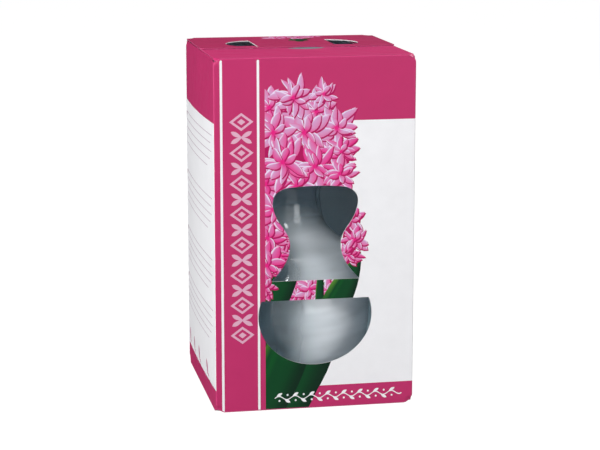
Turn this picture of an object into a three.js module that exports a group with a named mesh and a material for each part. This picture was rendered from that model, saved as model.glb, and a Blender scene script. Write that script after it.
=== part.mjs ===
// A windowed gift carton of printed paperboard, standing closed, with a hyacinth glass and its bulb inside.
// Millimetres, +Z up. The origin is at the middle of the carton's base, and the front faces -Y.
import * as THREE from "three";

// ---- driving dimensions ----

// The carton, outside, and the thickness of its board.
const width = 105;
const depth = 105;
const height = 185;
const board = 0.5;

// Flaps that lie on each other keep this much air between them, and their sides clear the walls by sideGap.
const layerGap = 0.125;
const sideGap = 0.25;

// The side walls belly outwards by this much in the middle.
const sideBelly = 1.8;

// The lid: two broad flaps that overlap, over two short dust flaps with slanted ends.
const backFlapLength = 58.5;
const frontFlapLength = 60;
const dustFlapLength = 17;
const dustFlapEndGap = 3;

// The two finger holes in the back flap are half ovals, with the straight side towards the middle.
const fingerHole = { inner: 21, reach: 15, halfLength: 17, y: 13 };

// The strip that is glued inside the back wall along its left fold.
const glueFlapWidth = 12;
const glueFlapEndGap = 4;

// The upper window is a stylised neck and cup. Each place is a half width and a height above the table,
// and each bend holds the two handles of the curve that leads from one place to the next.
const neckWindow = {
  foot: [23.1, 68.6],
  flank: [19, 73.5, 13.3, 78.5],
  waist: [13.3, 87.5],
  flare: [13.3, 95, 20.5, 98],
  shoulder: [22.2, 107.5],
  corner: [23, 112, 21.5, 115.6],
  brow: [15.5, 117.2],
  crown: 119,
};

// The lower window is the bowl: an ellipse whose top is cut off straight.
const bowlWindow = { centre: 49.8, reach: 30, halfHeight: 26.3, top: 58.3 };

// The glass stands a little to the left of the middle. Its outline, from the foot to the rim, turns
// at these radii and heights: the foot, the round bowl, the waist and the cup that holds the bulb.
const glassX = -5;
const glassHeight = 146;
const glassWall = 2.4;
const glassFloor = 6;
const glassFoot = { radius: 25, push: 2.5, land: 3 };
const glassTurns = [
  [glassFoot.radius, 0],
  [34, 4.5],
  [41.6, 18],
  [44.6, 40],
  [41.8, 59],
  [34, 74],
  [24.5, 82.5],
  [19.6, 90],
  [17.6, 104],
  [21.5, 114],
  [29, 124],
  [33.4, 134],
  [34.2, glassHeight],
];

// The bulb's outline, from its basal plate over its widest ring to its nose.
const bulbPlateRadius = 8;
const bulbTurns = [
  [bulbPlateRadius + 2.5, 0.8],
  [20, 7],
  [25.8, 16],
  [28, 25],
  [23, 37],
  [10, 49],
  [4.8, 55],
  [3.2, 59],
];
const bulbTop = 60;
const bulbRidges = { count: 9, height: 0.5 };

// Anything that rests on something else keeps this much air.
const restGap = 0.25;

// Facets: corners in a curve of the windows, and round the glass and the bulb.
const windowFacets = 14;
const glassSides = 44;
const bulbSides = 36;
const glassSteps = 28;
const bulbSteps = 20;

// ---- levels that follow from them ----

const halfWidth = width / 2;
const halfDepth = depth / 2;
const backFlapLevel = height - board;
const frontFlapLevel = backFlapLevel - layerGap - board;
const dustFlapLevel = frontFlapLevel - layerGap - board;
const innerBottomLevel = board;
const bottomDustLevel = 2 * board;
const floorLevel = 3 * board;
const glassLevel = floorLevel + restGap;

// ---- materials ----

function printedBoard(colour) {
  return new THREE.MeshStandardMaterial({ color: colour, roughness: 0.45, metalness: 0 });
}

const magentaBoard = "#c03a70";
const whiteBoard = "#e6e4ea";
const greyBoard = "#b9b5ad";

const glassMaterial = new THREE.MeshStandardMaterial({
  color: "#c9d6d8",
  roughness: 0.05,
  metalness: 0,
  transparent: true,
  opacity: 0.35,
});

const bulbMaterial = new THREE.MeshStandardMaterial({ color: "#7d4a55", roughness: 0.7, metalness: 0 });

// ---- helpers ----

const carton = new THREE.Group();

function addPiece(name, geometry, material) {
  const mesh = new THREE.Mesh(geometry, material);
  mesh.name = name;
  carton.add(mesh);
  return mesh;
}

// A flat piece of board: an outline drawn in its own plane, given the board's thickness.
function cutBoard(outline) {
  return new THREE.ExtrudeGeometry(outline, {
    depth: board,
    bevelEnabled: false,
    curveSegments: windowFacets,
  });
}

// A rectangle of the outline's plane, from one corner to the other.
function rectangle(left, low, right, high) {
  const outline = new THREE.Shape();
  outline.moveTo(left, low);
  outline.lineTo(right, low);
  outline.lineTo(right, high);
  outline.lineTo(left, high);
  outline.closePath();
  return outline;
}

// ---- the walls ----

// Both flanks of the neck window follow the same bends, once up the right side and once down the left.
function neckWindowPath() {
  const { foot, flank, waist, flare, shoulder, corner, brow, crown } = neckWindow;
  const path = new THREE.Path();
  const bend = ([x1, z1, x2, z2], [x, z]) => path.bezierCurveTo(x1, z1, x2, z2, x, z);
  const bendBack = ([x1, z1, x2, z2], [x, z]) => path.bezierCurveTo(-x2, z2, -x1, z1, -x, z);
  path.moveTo(-foot[0], foot[1]);
  path.lineTo(foot[0], foot[1]);
  bend(flank, waist);
  bend(flare, shoulder);
  bend(corner, brow);
  path.quadraticCurveTo(0, crown, -brow[0], brow[1]);
  bendBack(corner, shoulder);
  bendBack(flare, waist);
  bendBack(flank, foot);
  return path;
}

function bowlWindowPath() {
  const { centre, reach, halfHeight, top } = bowlWindow;
  const topAngle = Math.asin((top - centre) / halfHeight);
  const path = new THREE.Path();
  path.absellipse(0, centre, reach, halfHeight, Math.PI - topAngle, topAngle, false, 0);
  path.closePath();
  return path;
}

// The front and the back stand on the outer bottom panel and run the full width.
function wallOutline(top) {
  return rectangle(-halfWidth, board, halfWidth, top);
}

const frontOutline = wallOutline(frontFlapLevel);
frontOutline.holes.push(neckWindowPath(), bowlWindowPath());

// An outline's plane turns upright, so its thickness runs from the given y towards +Y.
function standUpright(geometry, y) {
  geometry.rotateX(Math.PI / 2);
  geometry.translate(0, y + board, 0);
  return geometry;
}

const front = standUpright(cutBoard(frontOutline), -halfDepth);
addPiece("front_panel", front, printedBoard(whiteBoard));

const back = standUpright(cutBoard(wallOutline(backFlapLevel)), halfDepth - board);
addPiece("back_panel", back, printedBoard(whiteBoard));

// A side wall stands between the front and the back, and bellies out between its four edges.
function sideWall(side) {
  const clearDepth = depth - 2 * board;
  const clearHeight = dustFlapLevel - board;
  const wall = new THREE.BoxGeometry(board, clearDepth, clearHeight, 1, 12, 14);
  const place = wall.getAttribute("position");
  for (let i = 0; i < place.count; i += 1) {
    const across = (2 * place.getY(i)) / clearDepth;
    const up = (2 * place.getZ(i)) / clearHeight;
    place.setX(i, place.getX(i) + side * sideBelly * (1 - across ** 2) * (1 - up ** 4));
  }
  wall.translate(side * (halfWidth - board / 2), 0, board + clearHeight / 2);
  return wall;
}

addPiece("left_panel", sideWall(-1), printedBoard(whiteBoard));
addPiece("right_panel", sideWall(1), printedBoard(whiteBoard));

const glueLeft = -halfWidth + board;
const glueOutline = rectangle(
  glueLeft,
  floorLevel + glueFlapEndGap,
  glueLeft + glueFlapWidth,
  dustFlapLevel - glueFlapEndGap,
);
addPiece("glue_flap", standUpright(cutBoard(glueOutline), halfDepth - 2 * board), printedBoard(greyBoard));

// ---- the lid ----

// A flap lies flat with its underside at the given level.
function layFlat(outline, level) {
  const geometry = cutBoard(outline);
  geometry.translate(0, 0, level);
  return geometry;
}

// A half oval whose straight side faces the middle of the lid.
function fingerHolePath(side) {
  const { inner, reach, halfLength, y } = fingerHole;
  const path = new THREE.Path();
  const start = side > 0 ? -Math.PI / 2 : Math.PI / 2;
  path.absellipse(side * inner, y, reach, halfLength, start, start + Math.PI, false, 0);
  path.closePath();
  return path;
}

const backFlap = rectangle(-halfWidth, halfDepth - backFlapLength, halfWidth, halfDepth);
backFlap.holes.push(fingerHolePath(-1), fingerHolePath(1));
addPiece("lid_flap_back", layFlat(backFlap, backFlapLevel), printedBoard(magentaBoard));

const frontFlap = rectangle(
  -halfWidth + board,
  -halfDepth,
  halfWidth - board,
  -halfDepth + frontFlapLength,
);
addPiece("lid_flap_front", layFlat(frontFlap, frontFlapLevel), printedBoard(magentaBoard));

// A dust flap is hinged on a side wall, and its ends slant inwards at 45 degrees.
function dustFlap(side) {
  const hinge = side * halfWidth;
  const tip = side * (halfWidth - dustFlapLength);
  const root = halfDepth - dustFlapEndGap;
  const end = root - dustFlapLength;
  const outline = new THREE.Shape();
  outline.moveTo(hinge, -root);
  outline.lineTo(hinge, root);
  outline.lineTo(tip, end);
  outline.lineTo(tip, -end);
  outline.closePath();
  return outline;
}

addPiece("dust_flap_left", layFlat(dustFlap(-1), dustFlapLevel), printedBoard(magentaBoard));
addPiece("dust_flap_right", layFlat(dustFlap(1), dustFlapLevel), printedBoard(magentaBoard));

// ---- the bottom ----

const bottomOuter = rectangle(-halfWidth, -halfDepth, halfWidth, halfDepth);
addPiece("bottom_outer", layFlat(bottomOuter, 0), printedBoard(magentaBoard));

const innerHalf = halfWidth - board - sideGap;
const innerHalfDepth = halfDepth - board - sideGap;
const bottomInner = rectangle(-innerHalf, -innerHalfDepth, innerHalf, innerHalfDepth);
addPiece("bottom_inner", layFlat(bottomInner, innerBottomLevel), printedBoard(greyBoard));

const bottomDustLeft = rectangle(-innerHalf, -innerHalfDepth, -sideGap, innerHalfDepth);
const bottomDustRight = rectangle(sideGap, -innerHalfDepth, innerHalf, innerHalfDepth);
addPiece("bottom_dust_left", layFlat(bottomDustLeft, bottomDustLevel), printedBoard(greyBoard));
addPiece("bottom_dust_right", layFlat(bottomDustRight, bottomDustLevel), printedBoard(greyBoard));

// ---- the glass ----

// A smooth curve through the places where an outline turns.
function smoothOutline(turns, steps) {
  const curve = new THREE.CatmullRomCurve3(turns.map(([r, z]) => new THREE.Vector3(r, z, 0)));
  return curve.getPoints(steps).map((p) => new THREE.Vector2(p.x, p.y));
}

// The inside runs one wall's thickness inside the outside, measured square to it, from the rim down.
function glassInside(outside) {
  const inside = [];
  for (let i = outside.length - 1; i > 0; i -= 1) {
    const ahead = outside[Math.min(i + 1, outside.length - 1)];
    const along = ahead.clone().sub(outside[i - 1]).normalize();
    const r = outside[i].x - along.y * glassWall;
    const z = outside[i].y + along.x * glassWall;
    if (z > glassFloor + 3) inside.push(new THREE.Vector2(r, z));
  }
  return inside;
}

const outside = smoothOutline(glassTurns, glassSteps);
const inside = glassInside(outside);

// The whole section: the pushed-up foot, the outside, the rounded rim, the inside and the floor.
function glassProfile() {
  const { radius, push, land } = glassFoot;
  const rim = outside[outside.length - 1];
  return [
    new THREE.Vector2(0, push),
    new THREE.Vector2(radius - 2 * land, push / 4),
    new THREE.Vector2(radius - land, 0),
    ...outside,
    new THREE.Vector2(rim.x - glassWall / 2, rim.y + glassWall / 4),
    ...inside,
    new THREE.Vector2(radius, glassFloor + 1),
    new THREE.Vector2(0, glassFloor),
  ];
}

// A lathe turns about its own Y axis, so its result is turned to stand on Z.
function turned(profile, sides) {
  const geometry = new THREE.LatheGeometry(profile, sides);
  geometry.rotateX(Math.PI / 2);
  return geometry;
}

const glass = turned(glassProfile(), glassSides);
glass.translate(glassX, 0, glassLevel);
addPiece("glass", glass, glassMaterial);

// ---- the bulb ----

// The radius of the inside of the glass at a height.
function clearRadius(z) {
  for (let i = 1; i < inside.length; i += 1) {
    const upper = inside[i - 1];
    const lower = inside[i];
    if (z <= upper.y && z >= lower.y) {
      return lower.x + ((upper.x - lower.x) * (z - lower.y)) / (upper.y - lower.y);
    }
  }
  return inside[0].x;
}

// The bulb stands in the cup, just above the height at which its side would touch the glass.
function bulbSeat(outline) {
  const step = 0.05;
  const room = restGap + bulbRidges.height;
  let seat = glassHeight;
  while (outline.every((p) => clearRadius(seat + p.y) - p.x > room)) seat -= step;
  return seat + step;
}

const bulbOutline = smoothOutline(bulbTurns, bulbSteps);
const bulbProfile = [
  new THREE.Vector2(0, 0),
  new THREE.Vector2(bulbPlateRadius, 0),
  ...bulbOutline,
  new THREE.Vector2(0, bulbTop),
];
const bulb = turned(bulbProfile, bulbSides);

// The dry skins stand in shallow ridges, highest at the widest ring, that fade towards both ends.
const bulbPlace = bulb.getAttribute("position");
const bulbRadius = Math.max(...bulbOutline.map((p) => p.x));
for (let i = 0; i < bulbPlace.count; i += 1) {
  const x = bulbPlace.getX(i);
  const y = bulbPlace.getY(i);
  const ridge = (bulbRidges.height / bulbRadius) * Math.cos(bulbRidges.count * Math.atan2(y, x));
  bulbPlace.setXY(i, x * (1 + ridge), y * (1 + ridge));
}
bulb.translate(glassX, 0, glassLevel + bulbSeat(bulbOutline));
addPiece("bulb", bulb, bulbMaterial);

export default carton;
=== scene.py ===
# %% [markdown]
# A gift carton for a hyacinth glass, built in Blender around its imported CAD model. The carton is one
# sheet of board that was printed flat, cut by a die and folded, so that is how it is made here too:
# the print is laid out flat in millimetres, cut with its two windows, and then bent round the folds.
# The glass and the bulb stand inside, where the windows show the glass.

# %% Load the frame
import math
import random

import bpy
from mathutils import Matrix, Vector
from mathutils.geometry import delaunay_2d_cdt


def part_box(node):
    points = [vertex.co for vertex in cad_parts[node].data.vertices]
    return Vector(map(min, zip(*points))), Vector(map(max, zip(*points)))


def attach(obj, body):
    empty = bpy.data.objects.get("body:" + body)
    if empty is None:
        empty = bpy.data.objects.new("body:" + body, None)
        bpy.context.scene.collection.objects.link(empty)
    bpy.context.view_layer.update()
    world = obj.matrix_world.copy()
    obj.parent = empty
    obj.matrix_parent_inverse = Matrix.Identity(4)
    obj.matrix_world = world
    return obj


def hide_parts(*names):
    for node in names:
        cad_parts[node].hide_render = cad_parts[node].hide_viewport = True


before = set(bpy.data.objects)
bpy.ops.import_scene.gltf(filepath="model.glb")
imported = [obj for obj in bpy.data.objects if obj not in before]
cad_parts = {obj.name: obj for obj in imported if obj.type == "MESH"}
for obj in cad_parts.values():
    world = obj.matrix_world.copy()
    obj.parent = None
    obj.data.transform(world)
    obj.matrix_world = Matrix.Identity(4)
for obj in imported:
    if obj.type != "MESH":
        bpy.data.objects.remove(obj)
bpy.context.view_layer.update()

# %% [markdown]
# The sizes and places of the board's pieces come from the frame. The windows, the glass and the bulb
# are outlines, which a box can't tell, so theirs are written out below as the CAD model has them. The
# print is designed in millimetres, so the frame's metres are turned to millimetres once, here, and
# back to metres when a piece is placed.

# %% Read the carton's sizes
mm = 0.001


def box_mm(node):
    low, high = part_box(node)
    return low / mm, high / mm


front_low, front_high = box_mm("front_panel")
glue_low, glue_high = box_mm("glue_flap")
back_flap_low, back_flap_high = box_mm("lid_flap_back")
front_flap_low, front_flap_high = box_mm("lid_flap_front")

half = front_high.x
lid_top = back_flap_high.z
board = lid_top - back_flap_low.z
hair = 0.01
wall_foot = front_low.z
front_top = front_high.z
back_top = box_mm("back_panel")[1].z
side_top = box_mm("left_panel")[1].z
print("carton width, height and board in mm:", 2 * half, round(lid_top, 2), round(board, 3))

# %% [markdown]
# Most of what follows works on one selected object at a time. Operators act on all that is selected,
# and the frame arrives selected, so a new piece always starts from an empty selection.

# %% Small helpers for selecting and finishing


def deselect():
    bpy.ops.object.select_all(action="DESELECT")


def select_only(piece):
    deselect()
    piece.select_set(True)
    bpy.context.view_layer.objects.active = piece


def apply_modifier(piece, kind, **settings):
    select_only(piece)
    modifier = piece.modifiers.new(kind.title(), kind)
    for name, value in settings.items():
        setattr(modifier, name, value)
    bpy.ops.object.modifier_apply(modifier=modifier.name)


def settle(piece, name):
    """Gives a new piece its name and moves its place into its mesh."""
    select_only(piece)
    piece.name = name
    piece.data.name = name
    bpy.ops.object.transform_apply(location=True, rotation=True, scale=True)
    return piece


def dress(piece, *materials):
    piece.data.materials.clear()
    for material in materials:
        piece.data.materials.append(material)


# %% [markdown]
# The camera comes first, so that every later step can be looked at from the front left, a little
# above the lid, with a long lens that keeps the carton's edges nearly parallel.

# %% Camera
camera_place = Vector((-182.8, -962.1, 282.0))
camera_turn = 10.87
camera_pitch = 11.24
camera_lens = 110.3

camera_data = bpy.data.cameras.new("camera")
camera_data.sensor_width = 36
camera_data.lens = camera_lens
camera = bpy.data.objects.new("camera", camera_data)
bpy.context.scene.collection.objects.link(camera)
camera.location = camera_place * mm
camera.rotation_euler = (math.radians(90 - camera_pitch), 0, math.radians(-camera_turn))
bpy.context.scene.camera = camera
print("camera at", [round(x, 3) for x in camera.location], "m with a", camera_lens, "mm lens")

# %% [markdown]
# Colours are picked as the hex values that a printer or a web page would name. Blender's shaders
# want linear light, so one function turns the first into the second.

# %% Colours


def linear(hex_colour):
    """A colour such as "#c83c70" as linear red, green and blue."""
    parts = [int(hex_colour[i : i + 2], 16) / 255 for i in (1, 3, 5)]
    return tuple(p / 12.92 if p <= 0.04045 else ((p + 0.055) / 1.055) ** 2.4 for p in parts)


def mix(first, second, share):
    share = min(1, max(0, share))
    return tuple(a + (b - a) * share for a, b in zip(first, second))


def smooth(x):
    x = min(1, max(0, x))
    return x * x * (3 - 2 * x)


magenta = linear("#bb3067")
fold_magenta = linear("#c03a70")
# A darker magenta for the lid seam: rubbed ink together with painted shade at the back flap's edge.
rub_and_shade_magenta = linear("#a8386a")
# The lid flaps' magentas are painted light and painted shade: the front flap's is lighter and the back
# flap's darker, for how the light falls across the lid.
lid_front_painted_light = linear("#c4316c")
lid_back_painted_shade = linear("#b02a5c")
grey_leaf = linear("#6f8f90")
white_ink = linear("#eeeef1")
pale_pink = linear("#d9a9c0")
rule_grey = linear("#b8a6b5")
maroon = linear("#7a2c4c")
stamp_pink = linear("#b85a86")

# %% [markdown]
# A material is a small graph of nodes. This helper adds one node, sets its values and links its
# inputs, so that a material reads as a list of what it is made of.

# %% A helper for nodes


def new_material(name):
    material = bpy.data.materials.new(name)
    material.use_nodes = True
    tree = material.node_tree
    tree.nodes.clear()
    return material, tree


def add_node(tree, kind, settings=None, values=None, links=None):
    """Adds a node. settings are its own properties, values its sockets' numbers, links its inputs."""
    node = tree.nodes.new(kind)
    for name, value in (settings or {}).items():
        setattr(node, name, value)
    for name, value in (values or {}).items():
        node.inputs[name].default_value = value
    for name, source in (links or {}).items():
        tree.links.new(source, node.inputs[name])
    return node


# %% [markdown]
# Printed carton board: bleached pulp board with a clay coating, offset printed and sealed with a
# satin varnish. The ink is stored on the mesh as a colour for each corner of each face. The varnish
# is a little uneven, and the pulp's fibres leave a faint unevenness that only shows in a reflection.

# %% Material: printed and varnished carton board


def printed_board():
    material, tree = new_material("printed varnished carton board")
    place = add_node(tree, "ShaderNodeTexCoord")
    ink = add_node(tree, "ShaderNodeAttribute", {"attribute_name": "ink"})
    mottle = add_node(
        tree,
        "ShaderNodeTexNoise",
        values={"Scale": 1 / (9 * mm), "Detail": 4, "Roughness": 0.6},
        links={"Vector": place.outputs["Object"]},
    )
    shade = add_node(
        tree,
        "ShaderNodeMapRange",
        values={"From Min": 0.3, "From Max": 0.7, "To Min": 0.965, "To Max": 1.0},
        links={"Value": mottle.outputs["Fac"]},
    )
    colour = add_node(
        tree,
        "ShaderNodeVectorMath",
        {"operation": "SCALE"},
        links={0: ink.outputs["Color"], "Scale": shade.outputs["Result"]},
    )
    fibres = add_node(
        tree,
        "ShaderNodeTexNoise",
        values={"Scale": 1 / (0.7 * mm), "Detail": 3, "Roughness": 0.6},
        links={"Vector": place.outputs["Object"]},
    )
    varnish = add_node(
        tree,
        "ShaderNodeMapRange",
        values={"From Min": 0.3, "From Max": 0.7, "To Min": 0.40, "To Max": 0.50},
        links={"Value": mottle.outputs["Fac"]},
    )
    bump = add_node(
        tree,
        "ShaderNodeBump",
        values={"Strength": 0.25, "Distance": 0.02 * mm},
        links={"Height": fibres.outputs["Fac"]},
    )
    surface = add_node(
        tree,
        "ShaderNodeBsdfPrincipled",
        values={"IOR": 1.45, "Specular IOR Level": 0.2},
        links={
            "Base Color": colour.outputs["Vector"],
            "Roughness": varnish.outputs["Result"],
            "Normal": bump.outputs["Normal"],
        },
    )
    add_node(tree, "ShaderNodeOutputMaterial", links={"Surface": surface.outputs["BSDF"]})
    return material


board_print = printed_board()

# %% [markdown]
# The inside of the carton is the same board without ink or varnish: a matt, greyish white with
# short fibres. The cut edge is brighter, because the die leaves clean torn fibres there, except at
# the outer edges of the lid, where hands and other cartons have rubbed some of the ink onto it.

# %% Material: bare pulp board


def bare_board(name, dark, light):
    material, tree = new_material(name)
    place = add_node(tree, "ShaderNodeTexCoord")
    fibres = add_node(
        tree,
        "ShaderNodeTexNoise",
        values={"Scale": 1 / (1.2 * mm), "Detail": 5, "Roughness": 0.7, "Distortion": 1.5},
        links={"Vector": place.outputs["Object"]},
    )
    colour = add_node(
        tree,
        "ShaderNodeMix",
        {"data_type": "RGBA"},
        links={0: fibres.outputs["Fac"]},
    )
    colour.inputs[6].default_value = (*linear(dark), 1)
    colour.inputs[7].default_value = (*linear(light), 1)
    bump = add_node(
        tree,
        "ShaderNodeBump",
        values={"Strength": 0.5, "Distance": 0.03 * mm},
        links={"Height": fibres.outputs["Fac"]},
    )
    surface = add_node(
        tree,
        "ShaderNodeBsdfPrincipled",
        values={"Roughness": 0.85},
        links={"Base Color": colour.outputs[2], "Normal": bump.outputs["Normal"]},
    )
    add_node(tree, "ShaderNodeOutputMaterial", links={"Surface": surface.outputs["BSDF"]})
    return material


board_inside = bare_board("bare pulp board", "#d2dce6", "#e8eef5")
board_edge = bare_board("cut edge of pulp board", "#d8d3d6", "#f0ecee")
rubbed_edge = bare_board("cut edge rubbed with ink", "#a83062", "#ba4878")

# %% [markdown]
# The print is a list of painted shapes. Each shape is an outline in millimetres and an ink, which is
# a function that gives the colour at a point, so a petal can shade from its root to its margin. A
# shape painted later lies over the earlier ones.

# %% Painted shapes


def flat_ink(colour):
    return lambda u, v: colour


def area_of(outline):
    ahead = outline[1:] + outline[:1]
    return sum(a[0] * b[1] - b[0] * a[1] for a, b in zip(outline, ahead)) / 2


def paint(shapes, outline, ink):
    shapes.append((outline if area_of(outline) > 0 else outline[::-1], ink))


def rectangle(left, low, right, high):
    return [(left, low), (right, low), (right, high), (left, high)]


def disc(centre, radius, corners):
    turns = [2 * math.pi * i / corners for i in range(corners)]
    return [(centre[0] + radius * math.cos(a), centre[1] + radius * math.sin(a)) for a in turns]


# %% [markdown]
# A petal and a leaf are the same drawing: a blade with a curved midrib that is widest part of the
# way along and ends in a point. Its local coordinates run 0 to 1 from root to tip and -1 to 1 across,
# and the ink is worked out from them. More outlines inside the first one carry the shading.

# %% Draw a petal or a leaf


class Blade:
    def __init__(self, root, angle, length, breadth, bend, belly=0.6, foot=0.22):
        self.root = root
        self.angle = angle
        self.along = (math.cos(angle), math.sin(angle))
        self.length = length
        self.breadth = breadth
        self.bend = bend
        self.belly = belly
        self.foot = foot

    def half_width(self, t):
        rise = math.sin(math.pi / 2 * min(1, t / self.belly))
        fall = math.cos(math.pi / 2 * max(0, (t - self.belly) / (1 - self.belly)))
        return self.breadth / 2 * (self.foot + (1 - self.foot) * rise) * fall**0.8

    def point(self, t, across):
        a = self.length * t
        b = self.bend * self.length * t * t + across * self.half_width(t)
        x, y = self.along
        return (self.root[0] + a * x - b * y, self.root[1] + a * y + b * x)

    def local(self, u, v):
        x, y = self.along
        u, v = u - self.root[0], v - self.root[1]
        t = min(1, max(0, (u * x + v * y) / self.length))
        side = (v * x - u * y) - self.bend * self.length * t * t
        return t, side / max(0.05, self.half_width(t))

    def outline(self, share, steps):
        near, far = (1 - share) * 0.2, 1 - (1 - share) * 0.14
        turns = [near + (far - near) * i / steps for i in range(steps + 1)]
        right = [self.point(t, -share) for t in turns]
        left = [self.point(t, share) for t in reversed(turns[:-1])]
        return right + left


def paint_blade(shapes, blade, ink, steps, shares=(1, 0.84, 0.5)):
    for share in shares:
        paint(shapes, blade.outline(share, steps), ink)


# %% [markdown]
# The picture on the carton is a posy of double blossoms over broad dark leaves. A petal is deep pink
# at its root and pale lilac towards its tip. It has a white rim on the side that faces the light at
# the upper left, deepens on the other side, and lies on its own thin shadow, so that each petal
# stands out from the next one.

# %% Inks of the petals and the leaves
petal_shade = linear("#ac1058")
petal_deep = linear("#e0207f")
petal_pink = linear("#d8529e")
petal_pale = linear("#cfa0ca")
petal_rim = linear("#e6def2")
leaf_night = linear("#022415")
leaf_dark = linear("#03401f")
leaf_green = linear("#06571f")
leaf_light = linear("#67a033")
light_from = math.radians(125)


def petal_ink(blade, tone):
    lit = 1 if math.cos(blade.angle + math.pi / 2 - light_from) > 0 else -1

    def ink(u, v):
        t, across = blade.local(u, v)
        across *= lit
        colour = mix(petal_deep, petal_pink, smooth(t / 0.35))
        colour = mix(colour, petal_pale, smooth((t - 0.15) / 0.45) * tone)
        colour = mix(colour, petal_deep, 0.9 * smooth((-0.1 - across) / 0.6) * (1 - 0.45 * tone))
        return mix(colour, petal_rim, smooth((across - 0.6) / 0.3) * smooth((t - 0.1) / 0.2))

    return ink


def leaf_ink(blade, tone):
    def ink(u, v):
        t, across = blade.local(u, v)
        colour = mix(leaf_night, leaf_dark, smooth((across + 1) / 0.8))
        ribs = 0.5 + 0.5 * math.cos(math.tau * 2.5 * across)
        colour = mix(colour, leaf_green, ribs * 0.7 * smooth((across + 0.6) / 1.2) * tone)
        return mix(colour, leaf_light, 0.85 * smooth((across - 0.6) / 0.35) * smooth((t - 0.35) * 3) * tone)

    return ink


# %% Draw a rosette
chance = random.Random(11)
shadow_right, shadow_down, shadow_spread = 0.45, 0.6, 0.5


def paint_petal(shapes, blade, tone):
    """A petal over its own shadow, which falls to the lower right."""
    u, v = blade.root
    fallen = (u + shadow_right, v - shadow_down)
    breadth = blade.breadth + shadow_spread
    shadow = Blade(fallen, blade.angle, blade.length, breadth, blade.bend, blade.belly)
    paint(shapes, shadow.outline(1, 6), flat_ink(petal_shade))
    paint_blade(shapes, blade, petal_ink(blade, tone), 7)


def rosette(shapes, centre, radius, rings=((1, 7, 0.4), (0.8, 7, 0.42), (0.55, 5, 0.5)), tones=(0.2, 0.95)):
    """Rings of petals from the outside in; a ring is its reach, its petals and their breadth."""
    for reach, count, breadth in rings:
        turn = chance.uniform(0, math.tau)
        for i in range(count):
            angle = turn + math.tau * i / count + chance.uniform(-0.2, 0.2)
            length = radius * reach * chance.uniform(0.88, 1.12)
            bend = chance.choice((-1, 1)) * chance.uniform(0.1, 0.6)
            blade = Blade(centre, angle, length, length * breadth * chance.uniform(0.8, 1.1), bend, 0.62)
            paint_petal(shapes, blade, chance.uniform(*tones))
    paint(shapes, disc(centre, radius * 0.08, 8), flat_ink(petal_deep))


# %% [markdown]
# The front is laid out first. Its field is white, under a magenta band at the top and over one at
# the bottom. A broad magenta band with two white pinstripes runs up the left side, in front of the
# posy, and a chain of lozenges and leaf pairs fills it.

# %% Lay out the front's print
band_right = -26.3
top_band = 151.5
bottom_band = 11.8
pinstripe_width = 1.25
pinstripes = (-48.6, -29.7)
pinstripe_top = 182.8
chain_middle = sum(pinstripes) / 2 + 0.8
chain_foot, chain_top = 33, 160
chain_pitch = 15.9
vine_left, vine_right, vine_middle = -21.5, 46.5, 6.1


def paint_bands(shapes, left, right):
    paint(shapes, rectangle(left, top_band, right, back_top), flat_ink(magenta))
    paint(shapes, rectangle(left, wall_foot, right, bottom_band), flat_ink(magenta))


def pinstripe(shapes, u):
    r = pinstripe_width / 2
    turns = [math.pi * i / 6 for i in range(7)]
    cap = [(u + r * math.cos(a), pinstripe_top + r * math.sin(a)) for a in turns]
    paint(shapes, [(u - r, wall_foot), (u + r, wall_foot), *cap], flat_ink(white_ink))


def lozenge(shapes, centre, reach, rise, colour):
    u, v = centre
    paint(shapes, [(u - reach, v), (u, v - rise), (u + reach, v), (u, v + rise)], flat_ink(colour))


def paint_chain(shapes, middle, low, high):
    """A chain of lozenge frames and leaf pairs, with a whole number of links."""
    links = round((high - low) / chain_pitch)
    pitch = (high - low) / links
    for i in range(links):
        v = low + pitch * (i + 0.5)
        lozenge(shapes, (middle, v), 6.2, 4.6, pale_pink)
        lozenge(shapes, (middle, v), 4.3, 3.2, magenta)
        lozenge(shapes, (middle, v), 2.1, 1.6, pale_pink)
        if i == links - 1:
            continue
        for side in (-1, 1):
            for lean in (-1, 1):
                angle = math.pi / 2 * (1 - side) + lean * 0.5 * side
                blade = Blade((middle, v + pitch / 2), angle, 6.2, 2.3, 0)
                paint(shapes, blade.outline(1, 6), flat_ink(pale_pink))


def paint_vine(shapes, left, right, middle):
    """A thin wavy stem with a leaf at each bend and a dot between two leaves."""
    wave, swing, stem = 8.6, 1.0, 0.28
    count = round((right - left) / wave * 10)
    places = [left + (right - left) * i / count for i in range(count + 1)]
    line = [(u, middle + swing * math.sin(math.tau * (u - left) / wave)) for u in places]
    over = [(u, v + stem) for u, v in line]
    under = [(u, v - stem) for u, v in line]
    paint(shapes, under + over[::-1], flat_ink(white_ink))
    for i in range(int((right - left) / wave * 2)):
        u = left + wave * (i / 2 + 0.25)
        up = 1 if i % 2 == 0 else -1
        root = (u, middle + up * swing * 0.9)
        blade = Blade((u - 1.2, root[1] - up * 0.3), up * 0.75, 3.6, 1.5, -up * 0.15)
        paint(shapes, blade.outline(1, 6), flat_ink(white_ink))
        paint(shapes, disc((u + 0.3, middle - up * 1.5), 0.55, 8), flat_ink(white_ink))


def paint_left_band(shapes):
    """The broad band with its two pinstripes and the chain between them."""
    paint(shapes, rectangle(-half, wall_foot, band_right, back_top), flat_ink(magenta))
    for u in pinstripes:
        pinstripe(shapes, u)
    paint_chain(shapes, chain_middle, chain_foot, chain_top)


def paint_leaves(shapes, leaves):
    for root, angle, length, breadth, bend in leaves:
        blade = Blade(root, angle, length, breadth, bend, 0.5, 0.5)
        paint_blade(shapes, blade, leaf_ink(blade, chance.uniform(0.6, 1)), 14, (1, 0.8, 0.6, 0.4, 0.2))


def paint_stems(shapes, root, heads):
    for head in heads:
        reach = Vector(head) - Vector(root)
        blade = Blade(root, math.atan2(reach.y, reach.x), reach.length, 2.2, 0, 0.5, 0.8)
        paint_blade(shapes, blade, leaf_ink(blade, 0.8), 8, (1, 0.5))


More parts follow.
